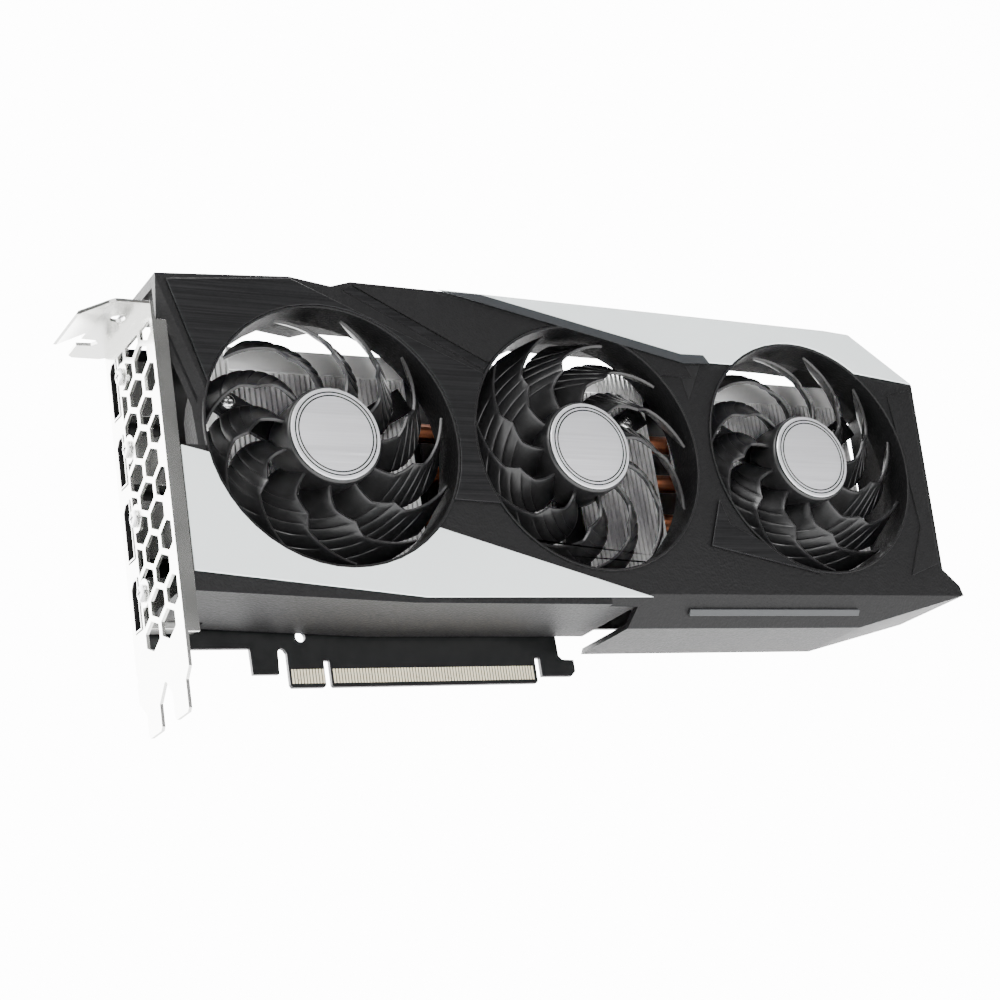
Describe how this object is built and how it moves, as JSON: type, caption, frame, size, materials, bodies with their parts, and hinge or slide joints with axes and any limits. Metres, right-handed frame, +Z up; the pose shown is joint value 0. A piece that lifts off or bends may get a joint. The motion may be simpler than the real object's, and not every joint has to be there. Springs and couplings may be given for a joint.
{
  "type": "graphics card",
  "caption": "Dual-slot graphics card with axial fans in an angular shroud, a finned heatsink, a backplate, an edge connector and a vented slot bracket.",
  "frame": {"origin": "centre of the bottom face of the edge connector, half way along its overall length and through the board's thickness", "axes": "+X along the card from the slot bracket to the tail, +Y out of the backplate and away from the fans, +Z up out of the slot"},
  "size_m": [0.3049, 0.0428, 0.1313],
  "materials": {
    "board_black": "black solder resist over glass-fibre board",
    "bright_steel": "bright nickel-plated sheet",
    "matte_black_plastic": "fine-grained black moulding",
    "silver_panel": "silver metallic paint",
    "brushed_black": "dark film with a fine hairline",
    "backplate_black": "black anodised sheet with a fine hairline",
    "grey_diffuser": "smooth grey light strip",
    "copper": "bare copper",
    "chip_black": "black epoxy",
    "die_silicon": "polished silicon",
    "socket_black": "black nylon",
    "screw_steel": "plated",
    "fin_aluminium": "plain rolled",
    "fan_plastic": "satin black moulding",
    "badge_aluminium": "circular-brushed disc",
    "magnet_rubber": "bonded ferrite strip"
  },
  "bodies": {
    "card": {"board": "board_black", "bracket": "bright_steel", "shroud": "matte_black_plastic", "silver_panel_lower": "silver_panel", "silver_panel_upper": "silver_panel", "brushed_panel": "brushed_black", "brushed_sliver": "brushed_black", "edge_light_strip": "grey_diffuser", "backplate": "backplate_black", "cold_plate": "copper", "gpu_package": "chip_black", "gpu_die": "die_silicon", "power_socket": "socket_black", "display_socket_1_shell": "bright_steel", "display_socket_1_contact_block": "socket_black", "video_socket_1_shell": "bright_steel", "video_socket_1_contact_block": "socket_black", "display_socket_2_shell": "bright_steel", "display_socket_2_contact_block": "socket_black", "video_socket_2_shell": "bright_steel", "video_socket_2_contact_block": "socket_black", "bracket_screw_1": "screw_steel", "cooler_screw_1": "screw_steel", "bracket_screw_2": "screw_steel", "cooler_screw_2": "screw_steel", "bracket_screw_3": "screw_steel", "cooler_screw_3": "screw_steel", "bracket_screw_4": "screw_steel", "cooler_screw_4": "screw_steel", "heatpipe_1": "copper", "heatpipe_2": "copper", "heatpipe_3": "copper", "memory_chip_1": "chip_black", "memory_chip_2": "chip_black", "memory_chip_3": "chip_black", "memory_chip_4": "chip_black", "memory_chip_5": "chip_black", "memory_chip_6": "chip_black", "fin_stack_left": "fin_aluminium", "fan_stator_left": "copper", "fan_mount_left": "matte_black_plastic", "fin_stack_centre": "fin_aluminium", "fan_stator_centre": "copper", "fan_mount_centre": "matte_black_plastic", "fin_stack_right": "fin_aluminium", "fan_stator_right": "copper", "fan_mount_right": "matte_black_plastic"},
    "fan_left": {"fan_rotor_left": "fan_plastic", "fan_badge_left": "badge_aluminium", "fan_shaft_left": "screw_steel", "fan_magnet_ring_left": "magnet_rubber"},
    "fan_centre": {"fan_rotor_centre": "fan_plastic", "fan_badge_centre": "badge_aluminium", "fan_shaft_centre": "screw_steel", "fan_magnet_ring_centre": "magnet_rubber"},
    "fan_right": {"fan_rotor_right": "fan_plastic", "fan_badge_right": "badge_aluminium", "fan_shaft_right": "screw_steel", "fan_magnet_ring_right": "magnet_rubber"}
  },
  "joints": [
    {"name": "fan_left_spin", "type": "hinge", "parent": "card", "child": "fan_left", "pos_m": [-0.0362, -0.0308, 0.0658], "axis": [0, -1, 0], "continuous": true},
    {"name": "fan_centre_spin", "type": "hinge", "parent": "card", "child": "fan_centre", "pos_m": [0.0517, -0.0308, 0.0658], "axis": [0, -1, 0], "continuous": true},
    {"name": "fan_right_spin", "type": "hinge", "parent": "card", "child": "fan_right", "pos_m": [0.1396, -0.0308, 0.0658], "axis": [0, -1, 0], "continuous": true}
  ]
}
